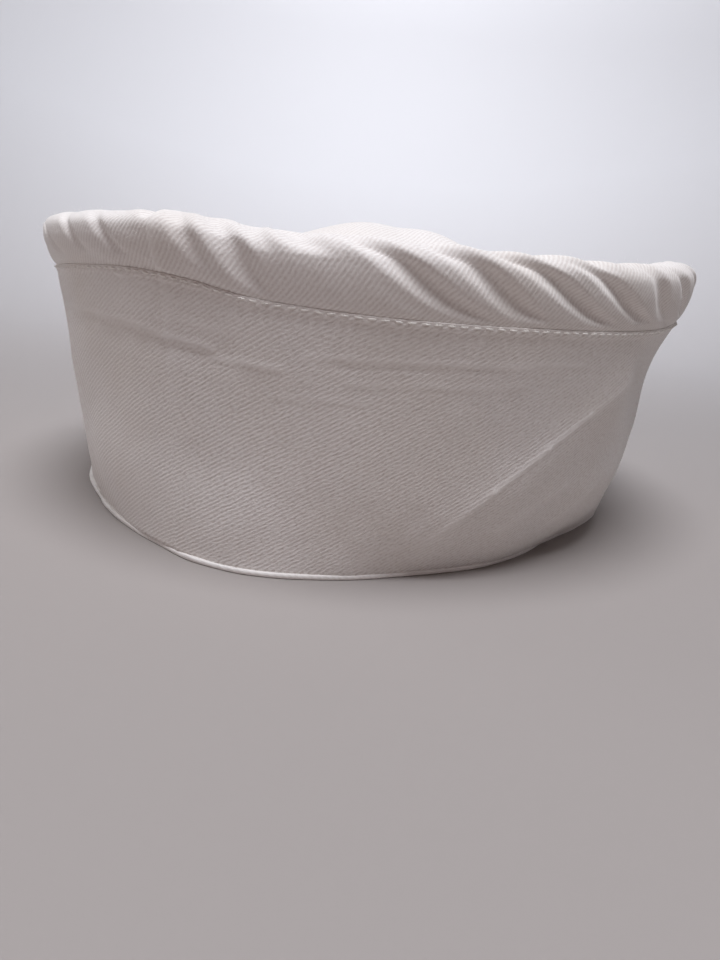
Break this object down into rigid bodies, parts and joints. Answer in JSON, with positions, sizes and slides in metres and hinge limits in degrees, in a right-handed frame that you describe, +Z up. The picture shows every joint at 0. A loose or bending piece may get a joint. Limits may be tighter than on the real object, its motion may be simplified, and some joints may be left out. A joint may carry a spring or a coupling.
{
  "type": "sailor cap",
  "caption": "Soft sailor cap: a flared cloth side wall on a thin edging, a gathered rim strip sewn round its top, and a slightly puffed round top; open below for the head.",
  "frame": {"origin": "centre of the cap's box in plan, at the level of the surface that its lower edge rests on", "axes": "+Z up, -Y towards the cap's front, +X towards the side that a viewer in front sees on the right"},
  "size_m": [0.2106, 0.2106, 0.0914],
  "materials": {
    "white_twill": "matte white cotton twill",
    "white_edging": "smooth white cotton tape"
  },
  "bodies": {
    "root": {"hem_edging": "white_edging", "side_wall": "white_twill", "rim_strip": "white_twill", "round_top": "white_twill"}
  },
  "joints": []
}
